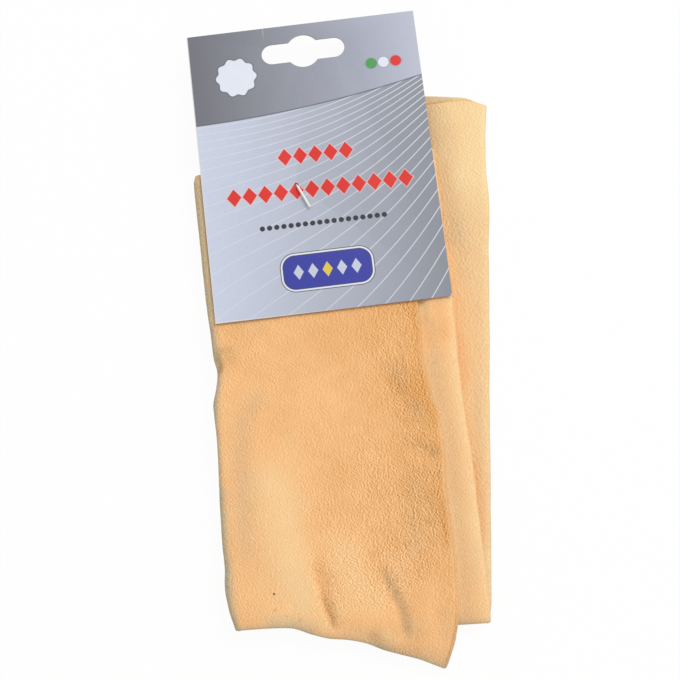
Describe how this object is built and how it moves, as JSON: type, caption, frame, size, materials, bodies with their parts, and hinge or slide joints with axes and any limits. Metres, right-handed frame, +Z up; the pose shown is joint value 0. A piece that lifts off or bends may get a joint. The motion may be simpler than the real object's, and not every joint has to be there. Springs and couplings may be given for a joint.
{
  "type": "chamois leather",
  "caption": "Natural chamois leather skin for wiping and drying, folded flat for sale, with a hanging card that turns on the plastic tag pin holding it to the bundle.",
  "frame": {"origin": "under the middle of the whole part's box, on the surface that the bundle lies on", "axes": "+X to the card's right, +Y along the card's long side towards its hang slot, +Z up out of the card's printed face"},
  "size_m": [0.1158, 0.2478, 0.0122],
  "materials": {
    "chamois": "matte",
    "coated_card": "satin",
    "pin_plastic": "satin"
  },
  "bodies": {
    "bundle": {"chamois_skin": "chamois"},
    "card": {"header_card": "coated_card"},
    "pin": {"tag_pin": "pin_plastic"}
  },
  "joints": [
    {"name": "card_swivel", "type": "hinge", "parent": "bundle", "child": "card", "pos_m": [-0.01682, 0.05894, 0.0102], "axis": [0, 0, 1], "continuous": true},
    {"name": "pin_turn", "type": "hinge", "parent": "bundle", "child": "pin", "pos_m": [-0.01682, 0.05894, 0], "axis": [0, 0, 1], "continuous": true}
  ]
}
